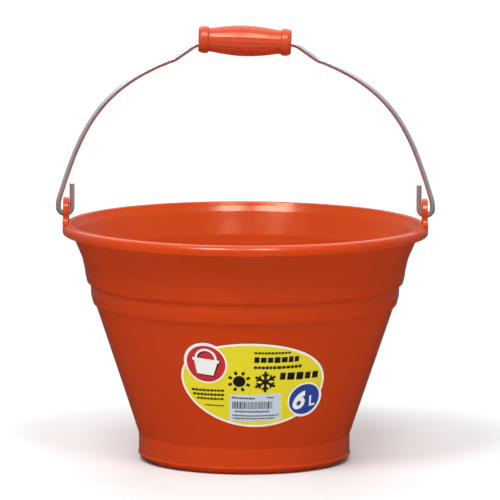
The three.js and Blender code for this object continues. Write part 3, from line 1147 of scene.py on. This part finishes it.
def wrapped(flat, apex, base, taper, azimuth):
    """A flat point of the label, wrapped round the wall, in metres. The lengths given are millimetres."""
    reach = math.hypot(flat[0], apex + flat[1])
    turn = math.atan2(flat[0], apex + flat[1]) / math.sin(taper) + azimuth
    radius = reach * math.sin(taper)
    height = base + (reach - apex) * math.cos(taper)
    return (radius * math.sin(turn) * MM, -radius * math.cos(turn) * MM, height * MM)


def label_mesh(label, wall):
    """The film as one closed solid on the wall, with a material number for the ink of each front face."""
    verts, painted = flat_label(label_art(label))
    base = label.height / MM
    mesh = bpy.data.meshes.new("label_print")
    shape = bmesh.new()
    layers = []
    for lift in (label.gap / MM, (label.gap + label.film) / MM):
        apex = (wall.radius(base) + lift / math.cos(wall.taper)) / math.sin(wall.taper)
        layers.append([shape.verts.new(wrapped(v, apex, base, wall.taper, label.azimuth)) for v in verts])
    back_layer, front_layer = layers
    for ink, face in painted:
        front = shape.faces.new([front_layer[i] for i in face])
        front.material_index = INKS.index(ink)
        back = shape.faces.new([back_layer[i] for i in reversed(face)])
        back.material_index = INKS.index("white")
    behind = dict(zip(front_layer, back_layer))
    rim_edges = [e for e in shape.edges if len(e.link_faces) == 1 and e.verts[0] in behind]
    for edge in rim_edges:
        a, b = edge.verts
        side = shape.faces.new((a, b, behind[b], behind[a]))
        side.material_index = INKS.index("white")
    loose = [v for v in shape.verts if not v.link_faces]
    bmesh.ops.delete(shape, geom=loose, context="VERTS")
    bmesh.ops.recalc_face_normals(shape, faces=shape.faces)
    for face in shape.faces:
        face.smooth = True
    shape.to_mesh(mesh)
    shape.free()
    return mesh


class BUCKET_OT_make_label(Operator):
    """Make the printed label"""

    bl_idname = "bucket.make_label"
    bl_label = "Make Label"

    def execute(self, context):
        label = context.scene.label_sizes
        mesh = label_mesh(label, WallLine(context.scene.bucket_sizes))
        film = new_object("label_print", mesh)
        for ink in INKS:
            mesh.materials.append(printed_film("label_film_" + ink, getattr(label, ink)))
        keep_edges_crisp(film, 30)
        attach(film, "bucket")
        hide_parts("label")
        return {"FINISHED"}


# ---------------------------------------------------------------- the stage

def area_lamp(name, shape, width, height, power):
    """An area light, at the origin and facing down."""
    lamp = bpy.data.lights.new(name, "AREA")
    lamp.shape = shape
    lamp.size = width
    lamp.size_y = height
    lamp.energy = power
    source = bpy.data.objects.new(name, lamp)
    bpy.context.scene.collection.objects.link(source)
    return source


def soft_box(name, shape, azimuth, elevation, distance, width, height, power):
    """An area light that faces the middle of the bucket. The angles are in degrees, 0 in front."""
    source = area_lamp(name, shape, width, height, power)
    turn = math.radians(azimuth)
    rise = math.radians(elevation)
    away = Vector((math.sin(turn) * math.cos(rise), -math.cos(turn) * math.cos(rise), math.sin(rise)))
    source.location = Vector((0, 0, LIGHT_AIM_HEIGHT)) + away * distance
    source.rotation_euler = away.to_track_quat("Z", "Y").to_euler()
    return source


def make_floor(stage):
    """A wide sheet of pale paper on the ground."""
    reach = 14.0
    corners = [(-reach, -reach, 0), (reach, -reach, 0), (reach, reach, 0), (-reach, reach, 0)]
    mesh = bpy.data.meshes.new("floor")
    mesh.from_pydata(corners, [], [(0, 1, 2, 3)])
    mesh.materials.append(floor_paper("floor_paper_uncoated", stage.floor))
    floor = new_object("floor", mesh)
    # the floor lights the bucket from below, but its mirror image is kept out of the gloss
    floor.visible_glossy = False


def make_lights(stage):
    """Two round soft boxes in front, a wide one overhead, a sheen panel and a lamp over the floor."""
    right_power = stage.key_power * stage.right_share
    soft_box("soft_box_left", "ELLIPSE", -27, 53, 2.0, 0.72, 0.78, stage.key_power)
    soft_box("soft_box_right", "ELLIPSE", 14, 53, 2.0, 0.52, 0.78, right_power)
    soft_box("soft_box_top", "RECTANGLE", -8, 76, 2.4, 3.0, 2.0, stage.top_power)
    # a pale panel high behind the bucket that only shows in the gloss
    sheen = soft_box("soft_box_sheen", "RECTANGLE", 180, 50, 2.4, 3.0, 2.4, stage.sheen_power)
    sheen.visible_diffuse = False
    # a lamp that whitens the floor behind the bucket, and stays out of the gloss
    sweep = area_lamp("sweep_lamp", "RECTANGLE", 1.4, 5.0, stage.sweep_power)
    sweep.location = (0, 3.2, 1.8)
    sweep.visible_glossy = False


def make_sky(scene, stage):
    """Even light all round that fades from a pale ceiling to dark lower walls."""
    world = scene.world or bpy.data.worlds.new("world")
    scene.world = world
    world.use_nodes = True
    tree = world.node_tree
    sky = tree.nodes["Background"]
    sky.inputs["Color"].default_value = linear("#F4F4F4")
    way = add(tree, "ShaderNodeTexCoord").outputs["Generated"]
    rise = add(tree, "ShaderNodeSeparateXYZ", {0: way}).outputs["Z"]
    tree.links.new(rescaled(tree, rise, -0.25, 0.25, 0.04, stage.sky), sky.inputs["Strength"])


def make_camera(scene, stage):
    """A camera with a long lens, in front of the bucket and a little above it."""
    camera = bpy.data.objects.new("camera", bpy.data.cameras.new("camera"))
    scene.collection.objects.link(camera)
    camera.data.sensor_width = 36
    camera.data.lens = stage.focal_length
    camera.data.clip_end = 60
    camera.location = (0, -stage.camera_distance, stage.camera_height)
    target = Vector((stage.aim_side, 0, stage.aim_height))
    facing = (target - camera.location).to_track_quat("-Z", "Y").to_matrix().to_4x4()
    camera.rotation_euler = (facing @ Matrix.Rotation(stage.roll, 4, "Z")).to_euler()
    scene.camera = camera


class BUCKET_OT_make_stage(Operator):
    """Make the floor, the lights and the camera"""

    bl_idname = "bucket.make_stage"
    bl_label = "Make Stage"

    def execute(self, context):
        scene = context.scene
        stage = scene.stage_settings
        for spare in [o for o in scene.objects if o.type in {"LIGHT", "CAMERA"}]:
            bpy.data.objects.remove(spare)
        make_floor(stage)
        make_lights(stage)
        make_sky(scene, stage)
        make_camera(scene, stage)
        scene.view_settings.view_transform = "Standard"
        return {"FINISHED"}


# ---------------------------------------------------------------- add-on

class BUCKET_PT_pieces(Panel):
    """Lists what the add-on makes"""

    bl_label = "Household Bucket"
    bl_space_type = "VIEW_3D"
    bl_region_type = "UI"
    bl_category = "Bucket"

    def draw(self, context):
        for operator in OPERATORS:
            self.layout.operator(operator.bl_idname)
        for holder in PROPERTIES:
            box = self.layout.box()
            for setting in PROPERTIES[holder].__annotations__:
                box.prop(getattr(context.scene, holder), setting)


OPERATORS = (
    BUCKET_OT_make_stage,
    BUCKET_OT_make_body,
    BUCKET_OT_make_bail,
    BUCKET_OT_make_grip,
    BUCKET_OT_make_label,
)
PROPERTIES = {
    "bucket_sizes": BucketSizes,
    "lug_sizes": LugSizes,
    "bail_sizes": BailSizes,
    "grip_sizes": GripSizes,
    "label_sizes": LabelSizes,
    "stage_settings": StageSettings,
}


def register():
    for group in PROPERTIES.values():
        bpy.utils.register_class(group)
    for holder, group in PROPERTIES.items():
        setattr(bpy.types.Scene, holder, PointerProperty(type=group))
    for kind in (*OPERATORS, BUCKET_PT_pieces):
        bpy.utils.register_class(kind)


def unregister():
    for kind in reversed((*OPERATORS, BUCKET_PT_pieces)):
        bpy.utils.unregister_class(kind)
    for holder in PROPERTIES:
        delattr(bpy.types.Scene, holder)
    for group in PROPERTIES.values():
        bpy.utils.unregister_class(group)


def main():
    register()
    bpy.ops.bucket.make_stage()
    bpy.ops.bucket.make_body()
    bpy.ops.bucket.make_bail()
    bpy.ops.bucket.make_grip()
    bpy.ops.bucket.make_label()


if __name__ == "__main__":
    main()
